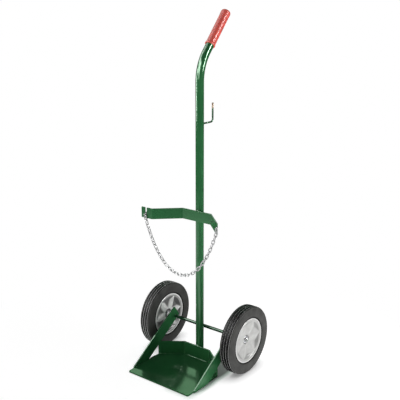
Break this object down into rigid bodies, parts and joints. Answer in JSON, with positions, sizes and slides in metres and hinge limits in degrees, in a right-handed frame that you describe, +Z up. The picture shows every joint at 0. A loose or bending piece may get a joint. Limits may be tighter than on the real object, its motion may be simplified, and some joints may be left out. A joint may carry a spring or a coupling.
{
  "type": "gas cylinder trolley",
  "caption": "Two-wheeled gas cylinder trolley with a bent mast, red grip, hose hook, cylinder cradle with a safety chain in a slotted tab, and a toe plate.",
  "frame": {"origin": "on the floor under the axis of the carried cylinder, on the underside of the toe plate", "axes": "+Z up along the mast, +X to the right along the axle, +Y back towards the operator, so the toe plate points to -Y"},
  "size_m": [0.424, 0.4151, 1.2963],
  "materials": {
    "enamel": "gloss green enamel",
    "grip": "soft gloss vinyl",
    "zinc": "bright zinc plate",
    "wheel_disc": "satin silver",
    "tyre": "ribbed rubber",
    "bushing": "sintered bronze"
  },
  "bodies": {
    "frame": {"mast_tube": "enamel", "handle_grip": "grip", "hose_hook": "enamel", "cylinder_bracket": "enamel", "base_plate": "enamel", "back_wall": "enamel", "left_brace": "enamel", "right_brace": "enamel", "axle": "enamel", "chain_tail_link": "zinc", "chain_slot_link": "zinc", "chain_end_link": "zinc", "left_inner_washer": "zinc", "left_outer_washer": "zinc", "left_cotter_pin": "zinc", "right_inner_washer": "zinc", "right_outer_washer": "zinc", "right_cotter_pin": "zinc"},
    "left_wheel": {"left_tyre": "tyre", "left_outer_disc": "wheel_disc", "left_inner_disc": "wheel_disc", "left_hub_tube": "zinc", "left_bushings": "bushing"},
    "right_wheel": {"right_tyre": "tyre", "right_outer_disc": "wheel_disc", "right_inner_disc": "wheel_disc", "right_hub_tube": "zinc", "right_bushings": "bushing"},
    "chain": {"chain_links": "zinc"}
  },
  "joints": [
    {"name": "left_wheel_spin", "type": "hinge", "parent": "frame", "child": "left_wheel", "pos_m": [-0.1892, 0.15635, 0.127], "axis": [1, 0, 0], "continuous": true},
    {"name": "right_wheel_spin", "type": "hinge", "parent": "frame", "child": "right_wheel", "pos_m": [0.1892, 0.15635, 0.127], "axis": [1, 0, 0], "continuous": true},
    {"name": "chain_swing", "type": "hinge", "parent": "frame", "child": "chain", "pos_m": [0, 0.03363, 0.56393], "axis": [1, -0.0018, 0], "range_deg": [-90, 8]}
  ]
}
